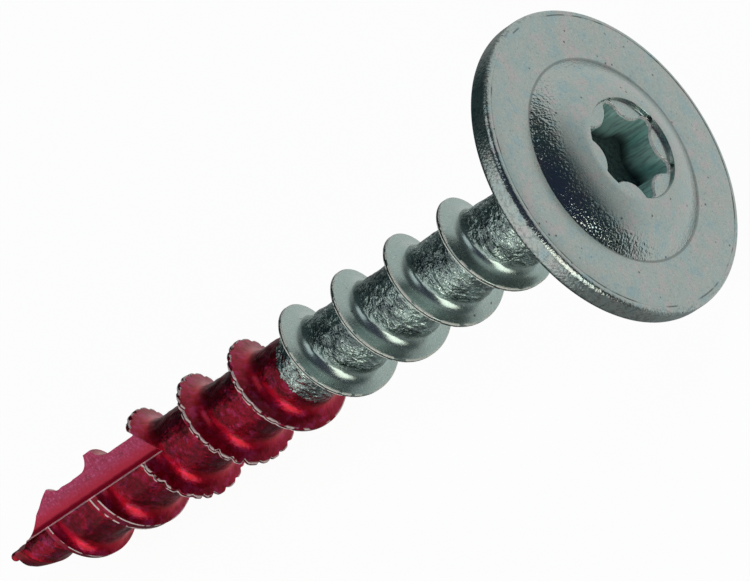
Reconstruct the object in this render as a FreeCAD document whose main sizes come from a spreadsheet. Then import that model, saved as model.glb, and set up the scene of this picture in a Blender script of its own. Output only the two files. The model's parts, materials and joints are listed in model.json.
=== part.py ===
import FreeCAD, Part
import math
import os

import Sketcher

# Washer head wood screw, modelled along its own axis and then laid down.
# Screw frame: Z along the axis, zero at the bearing face, head at positive Z, tip at negative Z.

# Driving dimensions in millimetres, angles in degrees
SIZES = [
    ("screw_length", 60.0, "bearing face to tip"),
    ("flange_diameter", 22.0, "outside of the washer head"),
    ("flange_thickness", 1.8, "flange face above the bearing face"),
    ("rim_bevel_upper", 0.35, "bevel between flange face and rim"),
    ("rim_bevel_lower", 0.5, "bevel between rim and bearing face"),
    ("head_height", 3.6, "top of the dome above the bearing face"),
    ("dome_diameter", 14.4, "crease at the foot of the dome"),
    ("dome_round", 5.1, "radius of the dome's shoulder"),
    ("dome_lip", 0.2, "flat ring left around the sink over the star recess"),
    ("mouth_clearance", 0.275, "room between the star's points and the round sink"),
    ("recess_mouth_depth", 0.35, "depth of that sink"),
    ("recess_reach", 6.75, "star recess across its points"),
    ("recess_waist", 4.85, "star recess across its valleys"),
    ("recess_lobe_round", 0.55, "radius of each point"),
    ("recess_depth", 3.2, "star recess below the dome's top"),
    ("recess_cone_depth", 0.7, "drill point at the bottom of the recess"),
    ("recess_turn", 46.0, "turn of the star about the axis"),
    ("neck_diameter", 5.1, "plain shank under the head"),
    ("neck_bevel", 0.9, "bevel between neck and flange"),
    ("neck_length", 6.4, "bearing face to the first trace of thread"),
    ("thread_diameter", 8.0, "crest of the thread"),
    ("core_diameter", 5.2, "bottom of the thread's groove"),
    ("thread_pitch", 5.375, "advance in one turn"),
    ("crest_width", 0.3, "flat along the crest"),
    ("flank_angle", 21.0, "slope of each flank off square"),
    ("root_round", 1.3, "hollow between flank and core, cut as two flats"),
    ("runout_length", 2.3, "length in which the crest rises from the neck"),
    ("point_length", 13.0, "curved point"),
    ("core_point_length", 8.74, "part of the point in which the core narrows too"),
    ("core_point_angle", 16.0, "slope of the core along the point"),
    ("point_turns", 0.95, "turns of the groove on the narrowing core"),
    ("point_start_radius", 0.75, "point where its curve begins"),
    ("nub_radius", 0.35, "blunt end of the point"),
    ("nub_length", 0.9, "blunt end along the axis"),
    ("thread_turn", 45.0, "direction in which the groove changes to the point's cone"),
    ("tooth_depth", 0.35, "notches across the crest"),
    ("tooth_angle", 100.0, "opening of each notch"),
    ("tooth_count", 22.0, "notches in one turn"),
    ("toothed_length", 29.0, "part of the screw with notches, from the tip"),
    ("flute_length", 15.0, "cutting flute at the axis, from the tip"),
    ("flute_rise", 3.3, "extra length in which the flute runs out"),
    ("flute_step", 0.45, "side wall of the flute off the axis"),
    ("flute_round", 0.8, "fillet between the flute's walls"),
    ("lying_turn", 49.1, "turn about its axis in which the screw lies"),
]

# Places worked out from the driving dimensions
PLACES = [
    ("flange_reach", "=Dimensions.flange_diameter / 2"),
    ("face_reach", "=flange_reach - Dimensions.rim_bevel_upper"),
    ("bearing_reach", "=flange_reach - Dimensions.rim_bevel_lower"),
    ("rim_top", "=Dimensions.flange_thickness - Dimensions.rim_bevel_upper"),
    ("dome_reach", "=Dimensions.dome_diameter / 2"),
    ("mouth_diameter", "=Dimensions.recess_reach + 2 * Dimensions.mouth_clearance"),
    ("dome_flat_reach", "=mouth_diameter / 2 + Dimensions.dome_lip"),
    ("neck_reach", "=Dimensions.neck_diameter / 2"),
    ("neck_bevel_reach", "=neck_reach + Dimensions.neck_bevel"),
    ("neck_bevel_low", "=0 - Dimensions.neck_bevel"),
    ("crest_reach", "=Dimensions.thread_diameter / 2"),
    ("core_reach", "=Dimensions.core_diameter / 2"),
    ("tip_low", "=0 - Dimensions.screw_length"),
    ("nub_round_top", "=tip_low + Dimensions.nub_radius"),
    ("nub_top", "=tip_low + Dimensions.nub_length"),
    ("point_start", "=nub_top + Dimensions.point_start_radius - Dimensions.nub_radius"),
    ("point_top", "=tip_low + Dimensions.point_length"),
    ("point_run", "=point_top - point_start"),
    ("point_rise", "=crest_reach - Dimensions.point_start_radius"),
    ("point_round", "=(point_run * point_run + point_rise * point_rise) / (2 * point_rise)"),
    ("runout_top", "=0 - Dimensions.neck_length"),
    ("runout_low", "=runout_top - Dimensions.runout_length"),
    ("groove_middle", "=tip_low + Dimensions.core_point_length"),
    ("crest_half_gap", "=(Dimensions.thread_pitch - Dimensions.crest_width) / 2"),
    ("core_half_gap", "=crest_half_gap - (crest_reach - core_reach) * tan(Dimensions.flank_angle)"),
    ("root_run", "=Dimensions.root_round * tan((90 - Dimensions.flank_angle) / 2)"),
    ("root_half_gap", "=core_half_gap - root_run"),
    ("flank_reach", "=core_reach + root_run * cos(Dimensions.flank_angle)"),
    ("flank_half_gap", "=core_half_gap + root_run * sin(Dimensions.flank_angle)"),
    ("groove_reach", "=crest_reach + Dimensions.crest_width / 2"),
    ("groove_half_gap", "=crest_half_gap + Dimensions.crest_width / 2 * tan(Dimensions.flank_angle)"),
    ("groove_core_low", "=groove_middle - root_half_gap"),
    ("groove_core_high", "=groove_middle + root_half_gap"),
    ("groove_flank_low", "=groove_middle - flank_half_gap"),
    ("groove_flank_high", "=groove_middle + flank_half_gap"),
    ("groove_low", "=groove_middle - groove_half_gap"),
    ("groove_high", "=groove_middle + groove_half_gap"),
    ("groove_height", "=runout_top - groove_middle + Dimensions.thread_pitch"),
    ("root_half_turn", "=(90 - Dimensions.flank_angle) / 2"),
    ("hollow_reach", "=core_reach + Dimensions.root_round * (1 - cos(root_half_turn))"),
    ("hollow_half_gap", "=root_half_gap + Dimensions.root_round * sin(root_half_turn)"),
    ("groove_hollow_low", "=groove_middle - hollow_half_gap"),
    ("groove_hollow_high", "=groove_middle + hollow_half_gap"),
    ("point_height", "=Dimensions.thread_pitch * Dimensions.point_turns"),
    ("point_drop", "=point_height * tan(Dimensions.core_point_angle)"),
    ("point_turn", "=Dimensions.thread_turn - 360 * Dimensions.point_turns"),
    ("point_flank_reach", "=flank_reach - point_drop"),
    ("point_core_reach", "=core_reach - point_drop"),
    ("point_middle", "=groove_middle - point_height"),
    ("point_hollow_reach", "=hollow_reach - point_drop"),
    ("point_hollow_low", "=point_middle - hollow_half_gap"),
    ("point_hollow_high", "=point_middle + hollow_half_gap"),
    ("point_core_low", "=point_middle - root_half_gap"),
    ("point_core_high", "=point_middle + root_half_gap"),
    ("point_flank_low", "=point_middle - flank_half_gap"),
    ("point_flank_high", "=point_middle + flank_half_gap"),
    ("point_wall", "=crest_reach - core_reach + point_drop / 2"),
    ("point_crest_reach", "=point_core_reach + point_wall"),
    ("point_half_gap", "=core_half_gap + point_wall * tan(Dimensions.flank_angle)"),
    ("point_low", "=point_middle - point_half_gap"),
    ("point_high", "=point_middle + point_half_gap"),
    ("lobe_reach", "=Dimensions.recess_reach / 2 - Dimensions.recess_lobe_round"),
    ("waist_reach", "=Dimensions.recess_waist / 2"),
    ("waist_round", "=(lobe_reach * lobe_reach + waist_reach * waist_reach"
     " - Dimensions.recess_lobe_round * Dimensions.recess_lobe_round"
     " - 2 * lobe_reach * waist_reach * cos(30))"
     " / (2 * (Dimensions.recess_lobe_round + lobe_reach * cos(30) - waist_reach))"),
    ("recess_floor", "=Dimensions.head_height - Dimensions.recess_depth"),
    ("recess_low", "=recess_floor - Dimensions.recess_cone_depth"),
    ("lobe_share", "=Dimensions.recess_lobe_round / (Dimensions.recess_lobe_round + waist_round)"),
    ("joint_along", "=lobe_reach + ((waist_reach + waist_round) * cos(30) - lobe_reach) * lobe_share"),
    ("joint_aside", "=(waist_reach + waist_round) * sin(30) * lobe_share"),
    ("flute_top", "=tip_low + Dimensions.flute_length"),
    ("flute_clear", "=crest_reach + Dimensions.thread_pitch"),
    ("flute_clear_top", "=flute_top + Dimensions.flute_rise * flute_clear / crest_reach"),
    ("flute_corner", "=Dimensions.flute_step + Dimensions.flute_round"),
    ("flute_depth", "=flute_clear_top - tip_low + 1"),
    ("tooth_top", "=tip_low + Dimensions.toothed_length"),
    ("tooth_floor", "=crest_reach - Dimensions.tooth_depth"),
    ("tooth_clear", "=crest_reach + Dimensions.tooth_depth"),
    ("tooth_half_width", "=2 * Dimensions.tooth_depth * tan(Dimensions.tooth_angle / 2)"),
    ("tooth_half_width_back", "=0 - tooth_half_width"),
]
# Fineness of the mesh from which the lying position is worked out
MESH_TOLERANCE = 0.01

# The star's twelve corners, where a point's arc meets a valley's arc
STAR_POINTS = 6
for number in range(STAR_POINTS):
    turn = f"({360 / STAR_POINTS} * {number})"
    for side, sign in (("first", "-"), ("last", "+")):
        aside = f"(0 {sign} joint_aside)"
        PLACES.append((f"star_x_{side}_{number}", f"=joint_along * cos{turn} - {aside} * sin{turn}"))
        PLACES.append((f"star_y_{side}_{number}", f"=joint_along * sin{turn} + {aside} * cos{turn}"))


def fill_sheet(document, name, rows):
    """A sheet with one row for each value: its name, the value and what it is."""
    sheet = document.addObject("Spreadsheet::Sheet", name)
    for number, (alias, value, *note) in enumerate(rows, start=1):
        sheet.set(f"A{number}", alias)
        sheet.set(f"B{number}", str(value))
        sheet.setAlias(f"B{number}", alias)
        if note:
            sheet.set(f"C{number}", note[0])
    document.recompute()
    return sheet


doc = FreeCAD.newDocument("washer_head_screw")
dimensions = fill_sheet(doc, "Dimensions", SIZES)
places = fill_sheet(doc, "Places", PLACES)


def where(alias):
    """The sheet that holds a value, and the value itself."""
    for sheet in (places, dimensions):
        if sheet.getCellFromAlias(alias):
            return f"{sheet.Name}.{alias}", float(sheet.get(alias))
    raise KeyError(alias)


def origin_plane(body, role):
    return next(feature for feature in body.Origin.OriginFeatures if feature.Role == role)


def new_sketch(body, name, role, offset=None):
    sketch = body.newObject("Sketcher::SketchObject", name)
    sketch.AttachmentSupport = [(origin_plane(body, role), "")]
    sketch.MapMode = "FlatFace"
    if offset:
        sketch.AttachmentOffset = offset
    return sketch


def bend(start, end, radius, left):
    """Centre of the arc from start to end that turns left or right."""
    half = (end - start) * 0.5
    height = math.sqrt(max(radius ** 2 - half.Length ** 2, 0.0))
    side = FreeCAD.Vector(-half.y, half.x, 0).normalize()
    return start + half + side * (height if left else -height)


def draw_outline(sketch, corners):
    """A closed outline. Each corner is named by its two values in the sheets, or "axis" for zero.
    A third and a fourth entry bend the side that leaves it: a radius and the way it turns."""
    def value(alias):
        return 0.0 if alias == "axis" else where(alias)[1]

    points = [FreeCAD.Vector(value(corner[0]), value(corner[1]), 0) for corner in corners]
    ends = []
    for number, corner in enumerate(corners):
        start, end = points[number], points[(number + 1) % len(points)]
        if len(corner) == 2:
            side = sketch.addGeometry(Part.LineSegment(start, end))
            ends.append((side, 1, 2))
            continue
        address, radius = where(corner[2])
        left = corner[3] == "left"
        centre = bend(start, end, radius, left)
        first, last = (start, end) if left else (end, start)
        angles = [math.atan2(point.y - centre.y, point.x - centre.x) for point in (first, last)]
        if angles[1] < angles[0]:
            angles[1] += 2 * math.pi
        circle = Part.Circle(centre, FreeCAD.Vector(0, 0, 1), radius)
        side = sketch.addGeometry(Part.ArcOfCircle(circle, *angles))
        constraint = sketch.addConstraint(Sketcher.Constraint("Radius", side, radius))
        sketch.setExpression(f"Constraints[{constraint}]", address)
        ends.append((side, 1, 2) if left else (side, 2, 1))
    for number, corner in enumerate(corners):
        side, begin, _ = ends[number]
        before, _, finish = ends[number - 1]
        sketch.addConstraint(Sketcher.Constraint("Coincident", before, finish, side, begin))
        for kind, axis, alias in (("DistanceX", -2, corner[0]), ("DistanceY", -1, corner[1])):
            if alias == "axis":
                sketch.addConstraint(Sketcher.Constraint("PointOnObject", side, begin, axis))
                continue
            address, amount = where(alias)
            constraint = sketch.addConstraint(
                Sketcher.Constraint(kind, -1, 1, side, begin, amount))
            sketch.setExpression(f"Constraints[{constraint}]", address)


def shape_blank(body):
    """The turned blank of the threaded part: run-out cone, crest cylinder and curved point."""
    sketch = new_sketch(body, "blank_outline", "XZ_Plane")
    draw_outline(sketch, [
        ("axis", "tip_low", "nub_radius", "left"),
        ("nub_radius", "nub_round_top"),
        ("nub_radius", "nub_top"),
        ("point_start_radius", "point_start", "point_round", "left"),
        ("crest_reach", "point_top"),
        ("crest_reach", "runout_low"),
        ("neck_reach", "runout_top"),
        ("axis", "runout_top"),
    ])
    blank = body.newObject("PartDesign::Revolution", "blank")
    blank.Profile = sketch
    blank.ReferenceAxis = (sketch, ["V_Axis"])
    blank.Angle = 360
    doc.recompute()
    return blank


def wind_groove(body, name, turn, corners, height, cone):
    """One groove from an outline in a plane through the axis, wound upwards."""
    sketch = new_sketch(body, name + "_outline", "XZ_Plane",
                        FreeCAD.Placement(FreeCAD.Vector(), FreeCAD.Rotation(FreeCAD.Vector(0, 1, 0), 1)))
    sketch.setExpression("AttachmentOffset.Rotation.Angle", turn)
    draw_outline(sketch, corners)
    doc.recompute()
    groove = body.newObject("PartDesign::SubtractiveHelix", name)
    groove.Profile = sketch
    groove.ReferenceAxis = (sketch, ["V_Axis"])
    groove.Mode = "pitch-height-angle"
    groove.setExpression("Pitch", "Dimensions.thread_pitch")
    groove.setExpression("Height", height)
    groove.setExpression("Angle", cone)
    doc.recompute()
    return groove


def cut_thread(body):
    """The groove of the shank, and its last turns on the narrowing core of the point."""
    wind_groove(body, "shank_groove", "Dimensions.thread_turn", [
        ("groove_reach", "groove_low"),
        ("groove_reach", "groove_high"),
        ("flank_reach", "groove_flank_high"),
        ("hollow_reach", "groove_hollow_high"),
        ("core_reach", "groove_core_high"),
        ("core_reach", "groove_core_low"),
        ("hollow_reach", "groove_hollow_low"),
        ("flank_reach", "groove_flank_low"),
    ], "Places.groove_height", "0")
    wind_groove(body, "point_groove", "Places.point_turn", [
        ("point_crest_reach", "point_low"),
        ("point_crest_reach", "point_high"),
        ("point_flank_reach", "point_flank_high"),
        ("point_hollow_reach", "point_hollow_high"),
        ("point_core_reach", "point_core_high"),
        ("point_core_reach", "point_core_low"),
        ("point_hollow_reach", "point_hollow_low"),
        ("point_flank_reach", "point_flank_low"),
    ], "Places.point_height", "Dimensions.core_point_angle")


def shape_head(body):
    """Neck, washer flange with its bevelled rim, and the dome."""
    sketch = new_sketch(body, "head_outline", "XZ_Plane")
    draw_outline(sketch, [
        ("axis", "runout_top"),
        ("neck_reach", "runout_top"),
        ("neck_reach", "neck_bevel_low"),
        ("neck_bevel_reach", "axis"),
        ("bearing_reach", "axis"),
        ("flange_reach", "rim_bevel_lower"),
        ("flange_reach", "rim_top"),
        ("face_reach", "flange_thickness"),
        ("dome_reach", "flange_thickness", "dome_round", "left"),
        ("dome_flat_reach", "head_height"),
        ("axis", "head_height"),
    ])
    head = body.newObject("PartDesign::Revolution", "head")
    head.Profile = sketch
    head.ReferenceAxis = (sketch, ["V_Axis"])
    head.Angle = 360
    doc.recompute()
    return head


def cut_recess(body):
    """Star recess under a shallow round sink, with a drill point at its floor."""
    mouth_outline = new_sketch(body, "mouth_outline", "XY_Plane")
    mouth_outline.setExpression("AttachmentOffset.Base.z", "Dimensions.head_height")
    mouth_outline.addGeometry(Part.Circle(FreeCAD.Vector(), FreeCAD.Vector(0, 0, 1), 1))
    mouth_outline.addConstraint(Sketcher.Constraint("Coincident", 0, 3, -1, 1))
    mouth_outline.addConstraint(Sketcher.Constraint("Diameter", 0, 2))
    mouth_outline.setExpression("Constraints[1]", "Places.mouth_diameter")
    mouth = body.newObject("PartDesign::Pocket", "mouth")
    mouth.Profile = mouth_outline
    mouth.setExpression("Length", "Dimensions.recess_mouth_depth")
    doc.recompute()

    corners = []
    for number in range(STAR_POINTS):
        corners.append((f"star_x_first_{number}", f"star_y_first_{number}",
                        "recess_lobe_round", "left"))
        corners.append((f"star_x_last_{number}", f"star_y_last_{number}", "waist_round", "right"))
    star_outline = new_sketch(body, "star_outline", "XY_Plane")
    star_outline.setExpression("AttachmentOffset.Base.z", "Dimensions.head_height")
    star_outline.setExpression("AttachmentOffset.Rotation.Angle", "Dimensions.recess_turn")
    draw_outline(star_outline, corners)
    star = body.newObject("PartDesign::Pocket", "star")
    star.Profile = star_outline
    star.setExpression("Length", "Dimensions.recess_depth")
    doc.recompute()

    cone_outline = new_sketch(body, "drill_point_outline", "XZ_Plane")
    draw_outline(cone_outline, [
        ("axis", "recess_low"),
        ("waist_reach", "recess_floor"),
        ("axis", "recess_floor"),
    ])
    cone = body.newObject("PartDesign::Groove", "drill_point")
    cone.Profile = cone_outline
    cone.ReferenceAxis = (cone_outline, ["V_Axis"])
    cone.Angle = 360
    doc.recompute()


def cut_teeth(body):
    """Notches across the crest: one long V beside the core, repeated round the axis."""
    sketch = new_sketch(body, "notch_outline", "XY_Plane")
    sketch.setExpression("AttachmentOffset.Base.z", "Places.tooth_top")
    draw_outline(sketch, [
        ("tooth_floor", "axis"),
        ("tooth_clear", "tooth_half_width_back"),
        ("tooth_clear", "tooth_half_width"),
    ])
    notch = body.newObject("PartDesign::Pocket", "notch")
    notch.Profile = sketch
    notch.setExpression("Length", "Dimensions.toothed_length")
    doc.recompute()
    teeth = body.newObject("PartDesign::PolarPattern", "teeth")
    teeth.Originals = [notch]
    teeth.Axis = (sketch, ["N_Axis"])
    teeth.Angle = 360
    teeth.setExpression("Occurrences", "Dimensions.tooth_count")
    body.Tip = teeth
    doc.recompute()
    return teeth


def cut_flute(body):
    """A quarter of the point is milled away, with a rounded corner and a sloping run-out."""
    cutter = doc.addObject("PartDesign::Body", "flute_cutter")
    section = new_sketch(cutter, "flute_section", "XY_Plane")
    section.setExpression("AttachmentOffset.Base.z", "Places.flute_clear_top")
    draw_outline(section, [
        ("flute_corner", "axis"),
        ("flute_clear", "axis"),
        ("flute_clear", "flute_clear"),
        ("flute_step", "flute_clear"),
        ("flute_step", "flute_round", "flute_round", "left"),
    ])
    quarter = cutter.newObject("PartDesign::Pad", "quarter")
    quarter.Profile = section
    quarter.Reversed = True
    quarter.setExpression("Length", "Places.flute_depth")
    doc.recompute()
    slope = new_sketch(cutter, "slope_outline", "YZ_Plane")
    draw_outline(slope, [
        ("axis", "flute_top"),
        ("flute_clear", "flute_clear_top"),
        ("axis", "flute_clear_top"),
    ])
    ramp = cutter.newObject("PartDesign::Pocket", "ramp")
    ramp.Profile = slope
    ramp.Type = "ThroughAll"
    ramp.Reversed = True
    doc.recompute()
    flute = body.newObject("PartDesign::Boolean", "flute")
    flute.setObjects([cutter])
    flute.Type = "Cut"
    doc.recompute()
    return flute


def lies_above(first, middle, last):
    """True where the middle point lies on or above the line from first to last."""
    return ((middle[1] - first[1]) * (last[0] - first[0])
            >= (last[1] - first[1]) * (middle[0] - first[0]))


def resting_tilt(points, centre):
    """Rise of the lying screw's axis: the slope of the lower side of its outline under the centre
    of gravity, where the rim and a crest near the point carry it."""
    lower = []
    for point in sorted((round(point.x, 6), round(point.z, 6)) for point in points):
        while len(lower) > 1 and lies_above(lower[-2], lower[-1], point):
            lower.pop()
        lower.append(point)
    for low, high in zip(lower, lower[1:]):
        if low[0] <= centre.x <= high[0]:
            return math.degrees(math.atan2(low[1] - high[1], high[0] - low[0]))
    raise ValueError("the centre of gravity lies outside the outline")


def lay_down(body):
    """The screw lies as it comes to rest, with its point towards -X and the flute's side turned up
    by lying_turn. The middle of its box is over the origin and its lowest points are at zero."""
    shape = body.Shape.Solids[0]
    turn = FreeCAD.Rotation(FreeCAD.Vector(0, 0, 1), 90 + where("lying_turn")[1])
    level = FreeCAD.Placement(FreeCAD.Vector(), FreeCAD.Rotation(FreeCAD.Vector(0, 1, 0), 90) * turn)
    points = shape.tessellate(MESH_TOLERANCE)[0]
    tilt = resting_tilt([level.multVec(point) for point in points], level.multVec(shape.CenterOfMass))
    tilted = FreeCAD.Placement(
        FreeCAD.Vector(), FreeCAD.Rotation(FreeCAD.Vector(0, 1, 0), 90 - tilt) * turn)
    box = FreeCAD.BoundBox()
    for point in points:
        box.add(tilted.multVec(point))
    shift = FreeCAD.Vector(-box.Center.x, -box.Center.y, -box.ZMin)
    body.Placement = FreeCAD.Placement(shift, tilted.Rotation)
    doc.recompute()
    print(f"axis rises {tilt:.2f} degrees, box {box.XLength:.2f} x {box.YLength:.2f} x {box.ZLength:.2f}")


def check_all():
    """Stops before anything is written if a feature failed or a shape is empty or faulty."""
    for item in doc.Objects:
        if {"Invalid", "Error"} & set(item.State):
            raise RuntimeError(f"{item.Label} failed: {item.State}")
        if item.isDerivedFrom("Part::Feature") and (item.Shape.isNull() or not item.Shape.isValid()):
            raise RuntimeError(f"{item.Label} has no valid shape")
    if len(screw.Shape.Solids) != 1:
        raise RuntimeError("the screw is not one solid")


screw = doc.addObject("PartDesign::Body", "screw")
shape_blank(screw)
cut_teeth(screw)
cut_thread(screw)
cut_flute(screw)
shape_head(screw)
cut_recess(screw)
lay_down(screw)
check_all()

os.makedirs("parts", exist_ok=True)
screw.Shape.exportStep(f"parts/{screw.Label}.step")
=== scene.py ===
import json
import math
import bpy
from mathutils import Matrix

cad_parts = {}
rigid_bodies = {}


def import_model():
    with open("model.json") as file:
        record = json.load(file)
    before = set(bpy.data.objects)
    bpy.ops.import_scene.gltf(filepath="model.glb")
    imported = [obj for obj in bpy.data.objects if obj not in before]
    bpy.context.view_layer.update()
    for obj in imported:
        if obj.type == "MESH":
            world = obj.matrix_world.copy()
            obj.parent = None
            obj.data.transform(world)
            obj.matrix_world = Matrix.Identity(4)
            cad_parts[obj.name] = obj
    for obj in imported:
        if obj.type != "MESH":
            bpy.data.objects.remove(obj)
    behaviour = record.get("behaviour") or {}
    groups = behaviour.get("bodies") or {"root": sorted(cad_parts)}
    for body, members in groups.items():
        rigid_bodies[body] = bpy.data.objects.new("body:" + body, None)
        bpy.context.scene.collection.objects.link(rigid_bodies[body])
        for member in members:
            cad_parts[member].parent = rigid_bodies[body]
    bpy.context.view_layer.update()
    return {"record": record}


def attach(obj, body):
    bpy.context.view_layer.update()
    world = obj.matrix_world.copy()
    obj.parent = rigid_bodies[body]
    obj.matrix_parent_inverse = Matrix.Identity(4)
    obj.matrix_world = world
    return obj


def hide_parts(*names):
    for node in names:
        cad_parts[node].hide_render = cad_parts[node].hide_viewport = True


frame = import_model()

from types import SimpleNamespace

import bpy
from mathutils import Matrix, Vector, noise

# Sizes are in millimetres in the screw's own frame: Z along its axis, zero at the bearing face and
# positive at the head.
MM = 0.001
MERGE_DISTANCE = 0.0005
SMOOTH_ANGLE = math.radians(28)

# Head
FLANGE_RADIUS = 11.0
FLANGE_THICKNESS = 1.8
RIM_ROUND_UPPER = 0.45
RIM_ROUND_LOWER = 0.6
RIM_LINE = 0.05
HEAD_HEIGHT = 3.6
DOME_RADIUS = 7.2
DOME_FLAT_RADIUS = 3.85
DOME_ROUND = 8.6
CREASE_WIDTH = 0.2
CREASE_DEPTH = 0.035
SINK_RADIUS = 3.65
SINK_DEPTH = 0.35
SINK_ROUND = 0.08
SINK_FLOOR = HEAD_HEIGHT - SINK_DEPTH
STAR_REACH = 3.47
STAR_WAIST = 2.45
STAR_BEVEL = 0.18
STAR_LOBE_ROUND = 0.55
STAR_DEPTH = 3.2
STAR_CONE_DEPTH = 0.7
STAR_TURN = 46.0
STAR_POINTS = 6

# Shank and thread
NECK_RADIUS = 2.55
NECK_ROUND = 0.9
CREST_RADIUS = 4.0
CORE_RADIUS = 2.6
PITCH = 5.375
CREST_WIDTH = 0.3
CREST_ROUND = 0.07
FLANK_ANGLE = math.radians(21.0)
ROOT_ROUND = 1.3
ROOT_UNEVEN = 0.07
RUNOUT_TOP = -6.4
RUNOUT_LOW = -8.7
THREAD_TURN = 45.0
SHANK_TURNS = 8.82
STEPS_A_TURN = 112
# The crumpled root: how far it reaches from the groove's middle, over what width it fades out, and how
# coarse its two waves are
ROOT_HALF_WIDTH = 1.9
ROOT_FADE = 0.8
ROOT_WAVES = ((1.0, 1.3), (0.5, 2.9))

# Point
TIP = -60.0
NUB_END = -60.1
NUB_RADIUS = 0.33
NUB_TOP = -58.9
# The blank's radius and height along the curved point
POINT_CURVE = [(4.0, -43.4), (3.9, -44.8), (3.62, -46.2), (3.45, -48.8), (3.35, -51.95),
               (3.1, -53.45), (2.72, -54.55), (1.86, -55.9), (1.62, -57.1), (1.35, -58.05),
               (1.15, -58.65)]
CURVE_SPREAD = 0.15
POINT_ROWS = 120
PINCH_TOP = -56.05
PINCH_LENGTH = 1.8
PINCH_SHARE = 0.62
NUB_SHIFT = 0.2
NUB_BEND = 0.8
STRETCH_TOP = -42.0
STRETCH_LENGTH = 9.55
STRETCH = 0.55
CORE_POINT_LENGTH = 8.74
CORE_POINT_ANGLE = math.radians(14.5)
POINT_TURNS = 0.95
TOOTHED_LENGTH = 29.0
TOOTH_FADE = 3.0
TOOTH_END = -46.2
TOOTH_COUNT = 22
TOOTH_DEPTH = 0.26
TOOTH_WIDTH = 0.17
TOOTH_SLANT = 0.14
FLUTE_LENGTH = 16.6
FLUTE_FALL = 0.65
FLUTE_RISE = 3.3
FLUTE_STEP = 0.72
FLUTE_ROUND = 0.5
GROOVE_MIDDLE = TIP + CORE_POINT_LENGTH
SPIN_STEPS = TOOTH_COUNT * 16

# How it lies: turned about its own axis, with the axis where the frame's mounts put it
LYING_TURN = math.radians(49.1)

# The lacquer begins at this height
LACQUER_TOP = -29.2

# Camera: how far the screw's axis tilts and leans in the picture, the camera's own roll, and where
# its middle of view and the camera stand
TILT = 0.89364
LEAN = 0.5982
ROLL = -0.00606
VIEW_POINT = Vector((0, 0, -0.525))
VIEW_OFFSET = Vector((13.881, 7.492, -524.8))
LENS_PIXELS = 8118.0
IMAGE_WIDTH = 750
SENSOR_WIDTH = 36.0

# Light. Directions are given from the camera's view: right, up and towards the camera.
BRIGHT_WAY = (0.75, 0.50, -0.43)
BELOW_WAY = (0.25, -0.95, -0.15)
LOW_LEFT_WAY = (-0.81, -0.55, 0.21)
CAMERA_WAY = (0, 0, 1)
LAMP_SIDE_WAY = (0.83, 0.55, 0)
LAMP_DISTANCE = 0.9
LOW_LIGHT_WAY = (0.227, -0.568, 0.79)
SIDE_LIGHT_WAY = (-0.395, 0.65, 0.65)
FLOOR_SIZE = 8
FLOOR_WHITE = 0.88
FLOOR_GLOW = 1.08

# Outputs of the Texture Coordinate node: a direction in the world, and a place on an object
WORLD_WAY = 0
OBJECT_PLACE = 3


def mount(name):
    return next(entry for entry in frame["record"]["mounts"] if entry["name"] == name)


def row_matrix():
    """From the screw's own frame in millimetres to the row's frame in metres."""
    recess = mount("drive_recess")
    along = Vector(recess["axis"]).normalized()
    side = Vector((0, 1, 0))
    up = along.cross(side)
    first = side * math.cos(LYING_TURN) + up * math.sin(LYING_TURN)
    second = up * math.cos(LYING_TURN) - side * math.sin(LYING_TURN)
    turned = Matrix((first, second, along)).transposed().to_4x4()
    centre = Vector(recess["pos_m"]) - along * HEAD_HEIGHT * MM
    return Matrix.Translation(centre) @ turned @ Matrix.Scale(MM, 4)


def deselect():
    for item in bpy.context.view_layer.objects:
        item.select_set(False)


def select_only(item):
    deselect()
    item.select_set(True)
    bpy.context.view_layer.objects.active = item


def arc(start, end, radius, left, count):
    """Points from start to end on an arc that turns left or right, without its first point."""
    start, end = Vector(start), Vector(end)
    half = (end - start) / 2
    height = math.sqrt(max(radius ** 2 - half.length ** 2, 0.0))
    side = Vector((-half.y, half.x)).normalized()
    centre = start + half + side * (height if left else -height)
    first = math.atan2(start.y - centre.y, start.x - centre.x)
    last = math.atan2(end.y - centre.y, end.x - centre.x)
    if left and last < first:
        last += 2 * math.pi
    if not left and last > first:
        last -= 2 * math.pi
    points = []
    for number in range(1, count + 1):
        angle = first + (last - first) * number / count
        points.append((centre.x + radius * math.cos(angle), centre.y + radius * math.sin(angle)))
    return points


def trace(name, points, closed=False, flat=False):
    """An outline drawn by extruding one vertex from point to point, upright in XZ or flat in XY."""
    def place(point):
        return Vector((point[0], point[1], 0)) if flat else Vector((point[0], 0, point[1]))

    deselect()
    bpy.ops.mesh.primitive_plane_add(size=1, location=place(points[0]))
    item = bpy.context.object
    item.name = name
    bpy.ops.object.mode_set(mode="EDIT")
    bpy.ops.mesh.merge(type="CENTER")
    for before, after in zip(points, points[1:]):
        step = place(after) - place(before)
        bpy.ops.mesh.extrude_region_move(TRANSFORM_OT_translate={"value": step})
    if closed:
        bpy.ops.mesh.select_all(action="SELECT")
        bpy.ops.mesh.edge_face_add()
    bpy.ops.object.mode_set(mode="OBJECT")
    bpy.ops.object.transform_apply(location=True, rotation=True, scale=True)
    return item


def apply_modifier(item, kind, **settings):
    select_only(item)
    modifier = item.modifiers.new(kind.lower(), kind)
    for name, value in settings.items():
        setattr(modifier, name, value)
    bpy.ops.object.modifier_apply(modifier=modifier.name)


def clean(item):
    """Doubles merged and faces pointing outwards."""
    select_only(item)
    bpy.ops.object.mode_set(mode="EDIT")
    bpy.ops.mesh.select_all(action="SELECT")
    bpy.ops.mesh.remove_doubles(threshold=MERGE_DISTANCE)
    bpy.ops.mesh.normals_make_consistent(inside=False)
    bpy.ops.object.mode_set(mode="OBJECT")


def cut(item, cutter):
    apply_modifier(item, "BOOLEAN", object=cutter, operation="DIFFERENCE", solver="EXACT")
    bpy.data.objects.remove(cutter)


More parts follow.
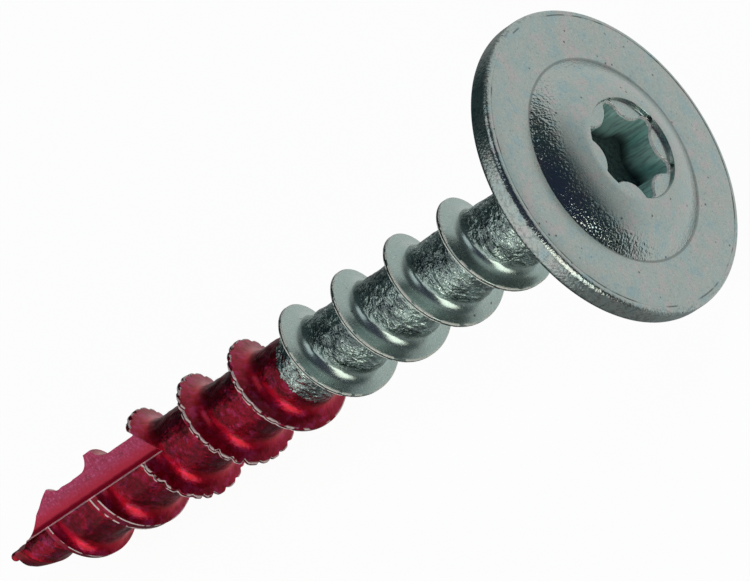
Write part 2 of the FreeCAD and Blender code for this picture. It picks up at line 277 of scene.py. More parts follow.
def point_reach(height):
    """Radius of the blank along the curved point, with the corners of its curve smoothed."""
    total = 0.0
    samples = [height + offset * CURVE_SPREAD for offset in range(-3, 4)]
    for sample in samples:
        reach = POINT_CURVE[0][0]
        for (start, top), (end, bottom) in zip(POINT_CURVE, POINT_CURVE[1:]):
            if sample <= top:
                share = min(1.0, (top - sample) / (top - bottom))
                reach = start + (end - start) * share
        total += reach
    return total / len(samples)


def smooth(share):
    """From 0 to 1 as the share goes from 0 to 1, without corners."""
    share = max(0.0, min(1.0, share))
    return share * share * (3 - 2 * share)


def stretch_point(item):
    """The thread's pitch grows towards the tip."""
    for vertex in item.data.vertices:
        height = vertex.co.z
        for _ in range(6):
            height = vertex.co.z - STRETCH * smooth((STRETCH_TOP - height) / STRETCH_LENGTH)
        vertex.co.z = height


def blank_outline():
    """Half section of the turned blank with its head, from the middle of the recess to the tip."""
    points = [(0, SINK_FLOOR), (SINK_RADIUS - 2 * SINK_ROUND, SINK_FLOOR)]
    points += arc(points[-1], (SINK_RADIUS - SINK_ROUND, SINK_FLOOR + SINK_ROUND), SINK_ROUND, True, 3)
    points += [(SINK_RADIUS - SINK_ROUND / 2, HEAD_HEIGHT - SINK_ROUND)]
    points += arc(points[-1], (SINK_RADIUS + SINK_ROUND / 2, HEAD_HEIGHT), SINK_ROUND, False, 3)
    points += [(DOME_FLAT_RADIUS, HEAD_HEIGHT)]
    points += arc(points[-1], (DOME_RADIUS, FLANGE_THICKNESS), DOME_ROUND, False, 14)
    points += [(DOME_RADIUS + CREASE_WIDTH * 0.3, FLANGE_THICKNESS - CREASE_DEPTH),
               (DOME_RADIUS + CREASE_WIDTH * 0.6, FLANGE_THICKNESS - CREASE_DEPTH * 0.7),
               (DOME_RADIUS + CREASE_WIDTH, FLANGE_THICKNESS)]
    points += [(FLANGE_RADIUS - RIM_ROUND_UPPER - 2 * RIM_LINE, FLANGE_THICKNESS),
               (FLANGE_RADIUS - RIM_ROUND_UPPER - RIM_LINE, FLANGE_THICKNESS - RIM_LINE / 2),
               (FLANGE_RADIUS - RIM_ROUND_UPPER, FLANGE_THICKNESS)]
    points += arc(points[-1], (FLANGE_RADIUS, FLANGE_THICKNESS - RIM_ROUND_UPPER), RIM_ROUND_UPPER,
                  False, 7)
    points += [(FLANGE_RADIUS, RIM_ROUND_LOWER)]
    points += arc(points[-1], (FLANGE_RADIUS - RIM_ROUND_LOWER, 0), RIM_ROUND_LOWER, False, 8)
    points += [(NECK_RADIUS + NECK_ROUND, 0)]
    points += arc(points[-1], (NECK_RADIUS, -NECK_ROUND), NECK_ROUND, True, 8)
    points += [(NECK_RADIUS, RUNOUT_TOP), (CREST_RADIUS, RUNOUT_LOW)]
    toothed = TIP + TOOTHED_LENGTH
    low = POINT_CURVE[-1][1]
    points += [(CREST_RADIUS, toothed + 0.02)]
    for row in range(POINT_ROWS + 1):
        height = toothed + (low - toothed) * row / POINT_ROWS
        points += [(point_reach(height), height)]
    points += [(NUB_RADIUS, NUB_TOP), (NUB_RADIUS, NUB_END + NUB_RADIUS)]
    points += arc(points[-1], (0, NUB_END), NUB_RADIUS, False, 6)
    return points


def notch_crest(item):
    """Notches across the crest, slanted and uneven, shallow where they begin and end."""
    pitch_angle = 2 * math.pi / TOOTH_COUNT
    top = TIP + TOOTHED_LENGTH
    for vertex in item.data.vertices:
        place = vertex.co
        reach = math.hypot(place.x, place.y)
        if place.z > top or place.z < TOOTH_END:
            continue
        angle = math.atan2(place.y, place.x) + place.z * TOOTH_SLANT
        uneven = noise.noise(Vector((place.x * 0.6, place.y * 0.6, place.z * 0.5)))
        share = (angle / pitch_angle + 0.25 * uneven + 0.5) % 1 - 0.5
        fade = min(1.0, 0.35 + (top - place.z) / TOOTH_FADE, (place.z - TOOTH_END) / TOOTH_FADE)
        depth = TOOTH_DEPTH * fade * (1 + 0.6 * uneven)
        wall = reach - depth * math.exp(-(share / TOOTH_WIDTH) ** 2)
        place.x *= wall / reach
        place.y *= wall / reach


def pinch_point(item):
    """The tip, flatter on the flute's side and with its nub moved that way."""
    for vertex in item.data.vertices:
        place = vertex.co
        if place.x > 0:
            share = PINCH_SHARE * max(0.0, min(1.0, (PINCH_TOP - place.z) / PINCH_LENGTH))
            place.x = max(place.x * (1 - share), min(place.x, NUB_RADIUS))
        place.x += NUB_SHIFT * smooth((NUB_TOP + NUB_BEND - place.z) / NUB_BEND)


def groove_profile(drop, wall, rounded):
    """Outline of the groove about its own middle: straight flanks and hollow roots. The shank's also
    rounds the edges of the crest that it leaves."""
    half_gap = (PITCH - CREST_WIDTH) / 2
    slope = math.tan(FLANK_ANGLE)
    core_half_gap = half_gap - (CREST_RADIUS - CORE_RADIUS) * slope
    run = ROOT_ROUND * math.tan((math.pi / 2 - FLANK_ANGLE) / 2)
    root = CORE_RADIUS - drop
    flank = (root + run * math.cos(FLANK_ANGLE), core_half_gap + run * math.sin(FLANK_ANGLE))
    floor = (root, core_half_gap - run)
    if rounded:
        middle = (CREST_RADIUS - CREST_ROUND,
                  half_gap + CREST_ROUND * (1 / math.cos(FLANK_ANGLE) - slope))
        turns = [math.radians(-90 + number * 16) + FLANK_ANGLE for number in range(4)]
        rim = [(middle[0] + CREST_ROUND * math.cos(turn), middle[1] + CREST_ROUND * math.sin(turn))
               for turn in turns]
        edge = rim[0]
        gap = PITCH / 2 - 0.03
        reach = rim[-1][0] - (gap - rim[-1][1]) * math.tan(turns[-1])
        half = [(CREST_RADIUS + 0.4, gap), (reach, gap)] + rim[::-1]
    else:
        edge = (root + wall, core_half_gap + wall * slope)
        half = [edge]
    steps = 4
    for number in range(1, steps):
        share = number / steps
        half.append((edge[0] + (flank[0] - edge[0]) * share, edge[1] + (flank[1] - edge[1]) * share))
    half += [flank] + arc(flank, floor, ROOT_ROUND, True, 9)
    half += [(root, floor[1] * share) for share in (0.8, 0.6, 0.4, 0.2, 0.0)]
    return half + [(reach, -gap) for reach, gap in reversed(half[:-1])]


def wind(name, profile, turns, turn, middle, cone):
    """A closed outline wound upwards round the axis, its ends capped. Its radius grows by the cone's
    slope as it climbs."""
    item = trace(name, [(reach, gap + middle) for reach, gap in profile], closed=True)
    select_only(item)
    bpy.ops.object.mode_set(mode="EDIT")
    bpy.ops.mesh.select_all(action="SELECT")
    bpy.ops.mesh.delete(type="ONLY_FACE")
    bpy.ops.object.mode_set(mode="OBJECT")
    steps = round(turns * STEPS_A_TURN)
    apply_modifier(item, "SCREW", angle=2 * math.pi * turns, screw_offset=PITCH * turns, steps=steps,
                   render_steps=steps, iterations=1, axis="Z", use_merge_vertices=False)
    for number, vertex in enumerate(item.data.vertices):
        growth = number // len(profile) * PITCH / STEPS_A_TURN * cone
        gap = abs(profile[number % len(profile)][1])
        rough = ROOT_UNEVEN * max(0.0, min(1.0, (ROOT_HALF_WIDTH - gap) / ROOT_FADE))
        for share, scale in ROOT_WAVES:
            growth += rough * share * noise.noise(vertex.co * scale)
        reach = math.hypot(vertex.co.x, vertex.co.y)
        vertex.co.x *= (reach + growth) / reach
        vertex.co.y *= (reach + growth) / reach
    select_only(item)
    bpy.ops.object.mode_set(mode="EDIT")
    bpy.ops.mesh.select_all(action="DESELECT")
    bpy.ops.mesh.select_mode(type="EDGE")
    bpy.ops.mesh.select_non_manifold()
    bpy.ops.mesh.edge_face_add()
    bpy.ops.mesh.select_mode(type="VERT")
    bpy.ops.object.mode_set(mode="OBJECT")
    item.data.transform(Matrix.Rotation(math.radians(turn), 4, "Z"))
    clean(item)
    return item


def flute_cutter():
    """A quarter beside the axis with a rounded inner corner and a sloping top."""
    reach = CREST_RADIUS + PITCH
    depth = FLUTE_LENGTH + FLUTE_RISE * 3
    deselect()
    bpy.ops.mesh.primitive_cube_add(
        size=1, location=((FLUTE_STEP + reach) / 2, reach / 2, TIP - 1 + depth / 2),
        scale=(reach - FLUTE_STEP, reach, depth))
    item = bpy.context.object
    bpy.ops.object.transform_apply(location=True, rotation=True, scale=True)
    bpy.ops.object.mode_set(mode="EDIT")
    bpy.ops.mesh.select_all(action="DESELECT")
    bpy.ops.object.mode_set(mode="OBJECT")
    for edge in item.data.edges:
        ends = [item.data.vertices[number].co for number in edge.vertices]
        edge.select = all(abs(end.x - FLUTE_STEP) < 0.01 and abs(end.y) < 0.01 for end in ends)
    bpy.ops.object.mode_set(mode="EDIT")
    bpy.ops.mesh.select_mode(type="EDGE")
    bpy.ops.mesh.bevel(offset=FLUTE_ROUND, segments=8, affect="EDGES")
    bpy.ops.mesh.select_mode(type="VERT")
    bpy.ops.object.mode_set(mode="OBJECT")
    for vertex in item.data.vertices:
        if vertex.co.z > TIP:
            vertex.co.z = (TIP + FLUTE_LENGTH - vertex.co.x * FLUTE_FALL
                           + vertex.co.y * FLUTE_RISE / CREST_RADIUS)
    clean(item)
    return item


def star_cutter():
    """The star recess: six rounded points and six hollow sides between them."""
    half_turn = math.pi / STAR_POINTS
    lobe = STAR_REACH - STAR_LOBE_ROUND
    side = (lobe ** 2 + STAR_WAIST ** 2 - STAR_LOBE_ROUND ** 2
            - 2 * lobe * STAR_WAIST * math.cos(half_turn)) / (
        2 * (STAR_LOBE_ROUND + lobe * math.cos(half_turn) - STAR_WAIST))
    share = STAR_LOBE_ROUND / (STAR_LOBE_ROUND + side)
    along = lobe + ((STAR_WAIST + side) * math.cos(half_turn) - lobe) * share
    aside = (STAR_WAIST + side) * math.sin(half_turn) * share
    corners = []
    for number in range(STAR_POINTS):
        angle = 2 * half_turn * number + math.radians(STAR_TURN)
        for sign in (-1, 1):
            corners.append((along * math.cos(angle) - sign * aside * math.sin(angle),
                            along * math.sin(angle) + sign * aside * math.cos(angle)))
    points = [corners[0]]
    for number in range(STAR_POINTS):
        first, last = corners[2 * number], corners[2 * number + 1]
        following = corners[(2 * number + 2) % len(corners)]
        points += arc(first, last, STAR_LOBE_ROUND, True, 8)
        points += arc(last, following, side, False, 8)
    item = trace("star", points[:-1], closed=True, flat=True)
    item.data.transform(Matrix.Translation((0, 0, HEAD_HEIGHT - STAR_DEPTH)))
    select_only(item)
    bpy.ops.object.mode_set(mode="EDIT")
    bpy.ops.mesh.select_all(action="SELECT")
    wall = STAR_DEPTH - SINK_DEPTH - STAR_BEVEL
    bpy.ops.mesh.extrude_region_move(TRANSFORM_OT_translate={"value": (0, 0, wall)})
    bpy.ops.mesh.extrude_region_move(TRANSFORM_OT_translate={"value": (0, 0, STAR_BEVEL)})
    flare = 1 + STAR_BEVEL / STAR_REACH
    bpy.ops.transform.resize(value=(flare, flare, 1), center_override=(0, 0, 0))
    bpy.ops.mesh.extrude_region_move(TRANSFORM_OT_translate={"value": (0, 0, SINK_DEPTH + 1)})
    bpy.ops.object.mode_set(mode="OBJECT")
    clean(item)
    return item


def drill_cutter():
    """The drill point under the star recess."""
    floor = HEAD_HEIGHT - STAR_DEPTH
    top = floor + 0.05
    slope = STAR_CONE_DEPTH / STAR_WAIST
    low = floor - STAR_CONE_DEPTH
    deselect()
    bpy.ops.mesh.primitive_cone_add(vertices=64, radius1=0, radius2=(top - low) / slope * 0.999,
                                    depth=top - low, location=(0, 0, (top + low) / 2))
    item = bpy.context.object
    bpy.ops.object.transform_apply(location=True, rotation=True, scale=True)
    clean(item)
    return item


def make_screw():
    """The turned blank, notched and pinched, then cut by its grooves, the flute and the recess."""
    item = trace("screw_body", blank_outline())
    select_only(item)
    bpy.ops.object.mode_set(mode="EDIT")
    bpy.ops.mesh.select_all(action="SELECT")
    bpy.ops.mesh.spin(steps=SPIN_STEPS, angle=2 * math.pi, center=(0, 0, 0), axis=(0, 0, 1))
    bpy.ops.object.mode_set(mode="OBJECT")
    clean(item)
    notch_crest(item)
    pinch_point(item)
    depth = CREST_RADIUS - CORE_RADIUS
    cut(item, wind("shank_groove", groove_profile(0, depth, True), SHANK_TURNS, THREAD_TURN,
                   GROOVE_MIDDLE, 0))
    cone = math.tan(CORE_POINT_ANGLE)
    drop = PITCH * POINT_TURNS * cone
    cut(item, wind("point_groove", groove_profile(drop, depth + drop / 2, False), POINT_TURNS,
                   THREAD_TURN - 360 * POINT_TURNS, GROOVE_MIDDLE - PITCH * POINT_TURNS, cone))
    cut(item, flute_cutter())
    cut(item, star_cutter())
    cut(item, drill_cutter())
    stretch_point(item)
    item.data.transform(row_matrix())
    select_only(item)
    bpy.ops.object.shade_smooth_by_angle(angle=SMOOTH_ANGLE)
    return item


def make_camera():
    """The photograph's camera, with its axes given by the screw's tilt and lean in the picture."""
    along = Vector((math.sin(TILT) * math.cos(LEAN), math.sin(TILT) * math.sin(LEAN), math.cos(TILT)))
    first = Vector((-math.sin(LEAN), math.cos(LEAN), 0))
    second = along.cross(first)
    to_screw = Matrix((first, second, along))
    turned = row_matrix().to_3x3() @ to_screw
    turned = Matrix([column.normalized() for column in turned.transposed()]).transposed()
    place = row_matrix() @ (VIEW_POINT - to_screw @ VIEW_OFFSET)
    data = bpy.data.cameras.new("camera")
    data.sensor_width = SENSOR_WIDTH
    data.lens = LENS_PIXELS * SENSOR_WIDTH / IMAGE_WIDTH
    data.clip_start = 0.01
    data.clip_end = 10
    camera = bpy.data.objects.new("camera", data)
    bpy.context.scene.collection.objects.link(camera)
    camera.matrix_world = Matrix.Translation(place) @ turned.to_4x4() @ Matrix.Rotation(-ROLL, 4, "Z")
    bpy.context.scene.camera = camera
    return camera


class Shade:
    """A socket with arithmetic: each operator adds its Math node."""

    def __init__(self, board, socket):
        self.board = board
        self.socket = socket

    def math(self, operation, *others):
        return self.board.add("ShaderNodeMath", {"operation": operation}, self, *others)

    def __add__(self, other):
        return self.math("ADD", other)

    __radd__ = __add__

    def __mul__(self, other):
        return self.math("MULTIPLY", other)

    __rmul__ = __mul__

    def __sub__(self, other):
        return self.math("SUBTRACT", other)

    def __rsub__(self, other):
        return self.board.add("ShaderNodeMath", {"operation": "SUBTRACT"}, other, self)

    def __truediv__(self, other):
        return self.math("DIVIDE", other)

    def __pow__(self, other):
        return self.math("POWER", other)

    def __abs__(self):
        return self.math("ABSOLUTE")

    def highest(self, other):
        return self.math("MAXIMUM", other)

    def ramp(self, low, high):
        """From 0 where the value is low to 1 where it is high, smoothly."""
        return self.board.add("ShaderNodeMapRange", {"interpolation_type": "SMOOTHSTEP"},
                              self, low, high, 0.0, 1.0)


class Board:
    """A node tree, and the nodes that are added to it."""

    def __init__(self, tree):
        self.tree = tree

    def plug(self, socket, value):
        if isinstance(value, Shade):
            self.tree.links.new(value.socket, socket)
        elif value is not None:
            socket.default_value = value

    def add(self, kind, settings, *values, output=0, **named):
        node = self.tree.nodes.new(kind)
        for name, value in settings.items():
            setattr(node, name, value)
        sockets = [socket for socket in node.inputs if socket.enabled]
        for socket, value in zip(sockets, values):
            self.plug(socket, value)
        for name, value in named.items():
            socket = next(s for s in sockets if s.name.replace(" ", "_").lower() == name)
            self.plug(socket, value)
        sources = [socket for socket in node.outputs if socket.enabled]
        return Shade(self, sources[output])

    def vector(self, *parts):
        return self.add("ShaderNodeCombineXYZ", {}, *parts)

    def noise(self, place, scale, detail=2.0, roughness=0.5, distortion=0.0):
        return self.add("ShaderNodeTexNoise", {}, vector=place, scale=scale, detail=detail,
                        roughness=roughness, distortion=distortion)

    def mix(self, share, first, second):
        return self.add("ShaderNodeMix", {"data_type": "RGBA"}, share, first, second)

    def dot(self, vector, direction):
        return self.add("ShaderNodeVectorMath", {"operation": "DOT_PRODUCT"}, vector,
                        tuple(direction))

    def shade(self, **inputs):
        """Values and links for the sockets of the tree's own shader."""
        shader = self.tree.nodes["Principled BSDF"]
        for name, value in inputs.items():
            wanted = name.replace("_", " ").lower()
            self.plug(next(s for s in shader.inputs if s.name.lower() == wanted), value)
        return shader


def new_material(name):
    """A new material, and the board for its nodes."""
    material = bpy.data.materials.new(name)
    material.use_nodes = True
    return material, Board(material.node_tree)


def screw_place(board):
    """A point's place in the screw's own frame in millimetres: across, aside and along."""
    matrix = row_matrix()
    centre = matrix.translation
    objects = board.add("ShaderNodeTexCoord", {}, output=OBJECT_PLACE)
    offset = board.add("ShaderNodeVectorMath", {"operation": "SUBTRACT"}, objects, tuple(centre))
    columns = [matrix.col[number].to_3d().normalized() / MM for number in range(3)]
    return [board.dot(offset, column) for column in columns]


def find_marks(board):
    """Masks of the screw's regions, from 0 outside to 1 inside, and the noises that several need."""
    mark = SimpleNamespace()
    across, aside, along = screw_place(board)
    mark.across, mark.aside, mark.along = across, aside, along
    place = mark.place = board.vector(across, aside, along)
    reach = (across * across + aside * aside) ** 0.5
    down = mark.down = along * -1

    # The head, its rim, the dome's edge, and painted shade: dark lines beside the rim and in the
    # dome's crease
    mark.headed = headed = along.ramp(-0.4, -0.05)
    mark.rim = reach.ramp(FLANGE_RADIUS - RIM_ROUND_UPPER, FLANGE_RADIUS - 0.2) * headed
    rim_shade_line = 1 - abs(reach - (FLANGE_RADIUS - RIM_ROUND_UPPER - RIM_LINE)).ramp(0.02, 0.08)
    rim_shade_line = rim_shade_line * board.noise(place, 0.5, 2.0, 0.6).ramp(0.48, 0.60)
    crease_shade = 1 - abs(reach - (DOME_RADIUS + CREASE_WIDTH / 2)).ramp(0.04, 0.14)
    mark.lines = rim_shade_line.highest(crease_shade * 0.7) * along.ramp(1.5, 1.7)
    mark.slope = (reach.ramp(5.2, 6.6) * (1 - reach.ramp(DOME_RADIUS + 0.1, DOME_RADIUS + 0.2))
                  * along.ramp(1.0, 1.5))

    # The star recess, its lower part, where painted shade darkens it, and the broken edge of its mouth
    mark.hole = ((1 - reach.ramp(SINK_RADIUS - 0.05, SINK_RADIUS)) * along.ramp(-0.6, 0.0)
                 * (1 - along.ramp(SINK_FLOOR - 0.15, SINK_FLOOR - 0.05)))
    mark.deep = mark.hole * (1 - along.ramp(0.35, 1.5))
    mark.mouth = ((1 - reach.ramp(SINK_RADIUS - 0.07, SINK_RADIUS - 0.03))
                  * along.ramp(SINK_FLOOR - 0.25, SINK_FLOOR - 0.17)
                  * (1 - along.ramp(SINK_FLOOR - 0.03, SINK_FLOOR)))

    # The flute's milled face, the fillet beside its wall with a painted reflection of bright red, and
    # the wall's upper edge with a painted highlight
    flute_top = aside * (FLUTE_RISE / CREST_RADIUS) - across * FLUTE_FALL + (TIP + FLUTE_LENGTH)
    low = (flute_top - along).ramp(-0.06, -0.02)
    mark.milled = across.ramp(FLUTE_STEP - 0.05, FLUTE_STEP - 0.02) * aside.ramp(-0.06, -0.02) * low
    mark.nook = mark.milled * (1 - across.ramp(1.0, 2.1))
    mark.lip = (1 - abs(across - FLUTE_STEP + 0.04).ramp(0.03, 0.06)) * aside.ramp(0.5, 0.7) * low

    # Place in the thread: the gap is 0 in the middle of the groove and half a pitch on the crest
    turn = aside.math("ARCTAN2", across)
    drawn = along + down.ramp(-STRETCH_TOP, -STRETCH_TOP + STRETCH_LENGTH) * STRETCH
    phase = (drawn - GROOVE_MIDDLE) / PITCH - (turn - math.radians(THREAD_TURN)) / (2 * math.pi)
    offset = (phase + 0.5).math("FRACT") - 0.5
    gap = abs(offset) * PITCH
    threaded = down.ramp(-RUNOUT_TOP, -RUNOUT_LOW)
    winding = threaded * (1 - mark.milled)
    mark.root = (1 - gap.ramp(1.2, ROOT_HALF_WIDTH)) * winding
    mark.root = mark.root + (1 - threaded) * (1 - headed) * (1 - mark.milled)
    # Painted highlight: the thread's fillets, painted a brighter red
    mark.fillet = (1 - abs(gap - 1.75).ramp(0.1, 0.6)) * winding

    # The crest between its two edges, painted dark as shade, and the bright edges, partly worn plating
    # and partly a painted highlight, broken into dashes now here, now there
    taper = down.ramp(43.5, 46.5) * 0.32 + down.ramp(46.5, 52.5) * 0.23 + down.ramp(52.5, 57.0) * 1.5
    crest_edge = (PITCH - CREST_WIDTH) / 2 - taper * math.tan(FLANK_ANGLE)
    mark.land = (gap.ramp(crest_edge + 0.07, crest_edge + 0.11) * winding
                 * (1 - down.ramp(45.0, 49.0)))
    upper = offset.ramp(-0.01, 0.01)
    dash_noise = board.noise(place, 1.3, 2.0, 0.5)
    edge_dashes = dash_noise.ramp(0.42, 0.48) * upper + (1 - dash_noise.ramp(0.52, 0.58)) * (1 - upper)
    edge = (1 - abs(gap - crest_edge - 0.03).ramp(0.045, 0.085)) * winding
    mark.edge = edge * (1 - down.ramp(55.6, 56.2)) * edge_dashes

    mark.cloud = board.noise(place, 0.55, 3.0, 0.6)
    # Noise for the painted shade patches in the thread's roots
    mark.patch = board.noise(place, 0.55, 4.0, 0.65)
    mark.grain = board.noise(place, 7.0, 3.0, 0.7)
    mark.speck = board.noise(place, 3.2, 4.0, 0.75)
    mark.streak = board.noise(board.vector(across * 2.5, aside * 2.5, along * 0.3), 1.6, 3.0, 0.6)
    mark.glint = mark.mouth * mark.speck.ramp(0.40, 0.50)
    return mark


def zinc_colour(board, mark):
    """Faint bluish and pinkish clouds, grain, a few dark pits, and the recess's broached walls.
    Painted light and shade: pale teal recess walls that darken towards the bottom, dark lines at the
    rim and crease, a dark crest land, dark root patches, crest edges that are partly worn plating and
    partly a painted highlight, and glints on the recess's mouth.
    """
    blush = board.noise(mark.place, 0.9, 4.0, 0.65, distortion=0.4)
    pits = board.add("ShaderNodeTexVoronoi", {}, vector=mark.place, scale=1.1, randomness=1.0)
    pits = (1 - pits.ramp(0.06, 0.12)) * board.noise(mark.place, 0.8, 1.0, 0.5).ramp(0.42, 0.52)
    colour = board.mix(mark.cloud.ramp(0.35, 0.65), (0.50, 0.59, 0.575, 1), (0.56, 0.595, 0.565, 1))
    for share, tint in (
            (blush.ramp(0.50, 0.66) * (mark.headed * 0.6 + 0.2), (0.64, 0.58, 0.59, 1)),
            ((1 - blush.ramp(0.32, 0.48)) * (mark.headed * 0.5 + 0.3), (0.42, 0.56, 0.60, 1)),
            ((1 - mark.headed) * 0.6, (0.41, 0.52, 0.49, 1)),
            (mark.grain.ramp(0.54, 0.70) * 0.5, (0.78, 0.80, 0.77, 1)),
            ((1 - mark.grain.ramp(0.30, 0.46)) * 0.5, (0.25, 0.29, 0.29, 1)),
            (pits * 0.8 * (1 - mark.root), (0.06, 0.06, 0.07, 1)),
            # Painted shade: dark lines beside the rim and in the dome's crease
            (mark.lines * 0.75, (0.10, 0.11, 0.11, 1)),
            (mark.headed * (1 - mark.hole) * 0.12, (0.10, 0.10, 0.10, 1)),
            (mark.rim * mark.speck.ramp(0.48, 0.60) * 0.55, (0.18, 0.20, 0.20, 1)),
            # Painted light: the recess walls are coloured pale teal, standing for light reflected
            # inside the recess
            (mark.hole * 0.9, (0.66, 1.0, 0.94, 1)),
            (mark.hole * mark.streak.ramp(0.45, 0.60) * 0.5, (0.20, 0.34, 0.36, 1)),
            # Painted shade: the recess darkens towards its bottom
            (mark.deep * 0.85, (0.03, 0.04, 0.04, 1)),
            (mark.glint, (0.97, 0.97, 0.95, 1)),
            # Painted shade: dark patches in the zinc roots
            (mark.root * mark.patch.ramp(0.46, 0.58) * 0.75, (0.10, 0.13, 0.14, 1)),
            # Painted shade: the crest's land is painted dark
            (mark.land * 0.9, (0.05, 0.055, 0.055, 1)),
            # The crest's edges: partly worn plating, partly a painted highlight
            (mark.edge, (0.98, 0.97, 0.90, 1))):
        colour = board.mix(share, colour, tint)
    return colour


def lacquer_colour(board, mark):
    """Deep crimson, paler on the milled face, with painted light and shade: crest edges worn to metal
    and painted bright as a highlight, a painted highlight on the flute wall's lip, bright red painted
    into the fillets as reflection and highlight, a dark crest land and dark root patches.
    """
    smear = board.noise(mark.place, 1.9, 2.0, 0.6)
    sheen = board.noise(mark.place, 4.5, 3.0, 0.7)
    colour = board.mix(mark.cloud.ramp(0.3, 0.7), (0.28, 0.003, 0.016, 1), (0.42, 0.006, 0.042, 1))
    for share, tint in (
            (smear.ramp(0.50, 0.64) * 0.7, (0.46, 0.03, 0.13, 1)),
            ((1 - smear.ramp(0.30, 0.46)) * 0.6, (0.10, 0.001, 0.002, 1)),
            (mark.milled * (0.2 + smear * 0.8), (0.50, 0.05, 0.15, 1)),
            (mark.milled * sheen.ramp(0.52, 0.66) * 0.6, (0.68, 0.16, 0.36, 1)),
            (mark.milled * (1 - sheen.ramp(0.34, 0.48)) * 0.6, (0.22, 0.01, 0.05, 1)),
            # Painted reflection: a bright red band in the fillet beside the flute's wall
            (mark.nook, (0.72, 0.001, 0.05, 1)),
            # Painted highlight: a brighter red in the thread's fillets
            (mark.fillet * 0.4, (0.85, 0.003, 0.02, 1)),
            # Painted shade: dark patches in the lacquered roots
            (mark.root * mark.patch.ramp(0.44, 0.60) * 0.7, (0.07, 0.001, 0.003, 1)),
            # Painted highlight: a pale line on the flute wall's upper edge
            (mark.lip * 0.8, (0.95, 0.55, 0.62, 1)),
            # Painted shade: the crest's land is painted dark
            (mark.land * 0.8, (0.05, 0.002, 0.004, 1)),
            # The crest's edges: lacquer worn to metal, and a painted highlight
            (mark.edge, (0.96, 0.74, 0.74, 1))):
        colour = board.mix(share, colour, tint)
    return colour


def plated_steel():
    """Zinc plating, and clear red lacquer over it on the pointed half."""
    material, board = new_material("plated_steel")
    mark = find_marks(board)
    fringe = board.noise(mark.place, 4.0, 2.0, 0.6) * 0.9
    fringe = fringe + board.noise(mark.place, 0.6, 1.0, 0.5) * 0.8 - 0.85
    red = (mark.down + fringe + LACQUER_TOP).ramp(-0.05, 0.05)
    colour = board.mix(red, zinc_colour(board, mark), lacquer_colour(board, mark))

    squeezed = board.vector(mark.across, mark.aside, mark.along * 1.6)
    crumple = board.noise(squeezed, 1.5, 3.0, 0.52)
    mottle = board.noise(mark.place, 5.5, 1.0, 0.5)
    lump = board.noise(mark.place, 3.0, 3.0, 0.6)
    height = mark.grain * 0.004 + crumple * mark.root * (0.42 - red * 0.2)
    height = height + mottle * (mark.rim + mark.slope * 1.4 + mark.mouth * 2) * 0.032
    height = height + mark.streak * mark.hole * 0.16 + lump * red * 0.03
    normal = board.add("ShaderNodeBump", {}, strength=1.0, distance=MM, height=height)
    roughness = (0.25 + (mark.cloud - 0.5) * 0.1 + (mark.grain - 0.5) * 0.15 + red * 0.14
                 + mark.hole * 0.3 - mark.root * (1 - red) * 0.13 - mark.slope * 0.12)
    metallic = (1 - mark.edge - mark.lip * 0.8 - mark.glint - mark.nook * red * 0.45
                - mark.hole * 0.5 - (1 - mark.headed) * (1 - mark.root) * 0.1).highest(0.0)
    board.shade(base_color=colour, metallic=metallic, roughness=roughness, normal=normal,
                coat_weight=red * (0.22 + mark.milled * 0.3 - mark.nook * 0.4),
                coat_roughness=0.10, coat_ior=1.45)
    return material


def make_floor():
    """White paper. It shows its white to the camera, with a soft trace of the screw's shadow."""
    deselect()
    bpy.ops.mesh.primitive_plane_add(size=FLOOR_SIZE, location=(0, 0, 0))
    floor = bpy.context.object
    floor.name = "floor"
    material, board = new_material("floor")
    paper = board.shade(base_color=(0.85, 0.85, 0.85, 1), roughness=0.9)
    white = board.add("ShaderNodeEmission", {}, (1, 1, 1, 1), FLOOR_GLOW)
    seen = board.add("ShaderNodeLightPath", {})
    mixed = board.add("ShaderNodeMixShader", {}, seen * FLOOR_WHITE, Shade(board, paper.outputs[0]),
                      white)
    board.plug(board.tree.nodes["Material Output"].inputs["Surface"], mixed)
    floor.data.materials.append(material)
    floor.visible_glossy = False


def row_direction(camera, direction):
    """A direction given from the camera's view (right, up, towards the camera) in the row's frame."""
    return (camera.matrix_world.to_3x3() @ Vector(direction)).normalized()


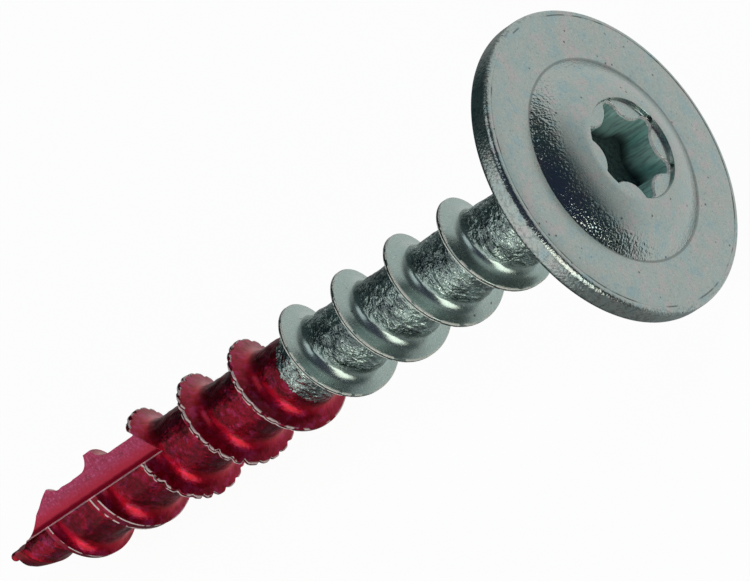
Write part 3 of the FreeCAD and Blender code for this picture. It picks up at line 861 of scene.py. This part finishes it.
def add_lamp(camera, name, direction, width, height, brightness, colour):
    """A soft window of light in a direction given from the camera's view, its long side rising to
    the right."""
    data = bpy.data.lights.new(name, "AREA")
    data.shape = "RECTANGLE"
    data.size = width
    data.size_y = height
    data.energy = brightness * math.pi * width * height
    data.color = colour
    lamp = bpy.data.objects.new(name, data)
    bpy.context.scene.collection.objects.link(lamp)
    back = row_direction(camera, direction)
    side = row_direction(camera, LAMP_SIDE_WAY)
    side = (side - back * side.dot(back)).normalized()
    turned = Matrix((side, back.cross(side), back)).transposed().to_4x4()
    lamp.matrix_world = Matrix.Translation(back * LAMP_DISTANCE) @ turned


def make_light(camera):
    """A room that is dark behind the camera and bright behind the screw, and two soft lights."""
    world = bpy.data.worlds.new("studio")
    bpy.context.scene.world = world
    world.use_nodes = True
    board = Board(world.node_tree)
    way = board.add("ShaderNodeTexCoord", {}, output=WORLD_WAY)

    def toward(direction):
        return board.dot(way, row_direction(camera, direction))

    bright = toward(BRIGHT_WAY)
    facing = toward(CAMERA_WAY)
    share = bright.ramp(0.44, 0.56) * 0.53 + 0.005
    share = share + bright.ramp(0.0, 0.4) * (1 - facing.ramp(0.0, 0.4)) * 0.28
    share = share + toward(BELOW_WAY).ramp(0.55, 0.98) * 0.22
    share = share + toward(LOW_LEFT_WAY).ramp(0.70, 0.98) * 1.7
    dark = board.mix(facing.ramp(0.5, 0.95), (0.024, 0.042, 0.044, 1), (0.020, 0.026, 0.056, 1))
    glow = board.mix(share, dark, (0.80, 0.84, 0.82, 1))
    board.plug(board.tree.nodes["Background"].inputs["Color"], glow)
    add_lamp(camera, "low_light", LOW_LIGHT_WAY, width=0.95, height=0.55, brightness=2.2,
             colour=(1.0, 1.0, 0.88))
    add_lamp(camera, "side_light", SIDE_LIGHT_WAY, width=0.45, height=0.5, brightness=0.85,
             colour=(0.94, 1.0, 1.0))


screw = make_screw()
screw.data.materials.clear()
screw.data.materials.append(plated_steel())
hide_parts("screw")
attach(screw, "root")
make_floor()
make_light(make_camera())
bpy.context.scene.view_settings.view_transform = "Standard"
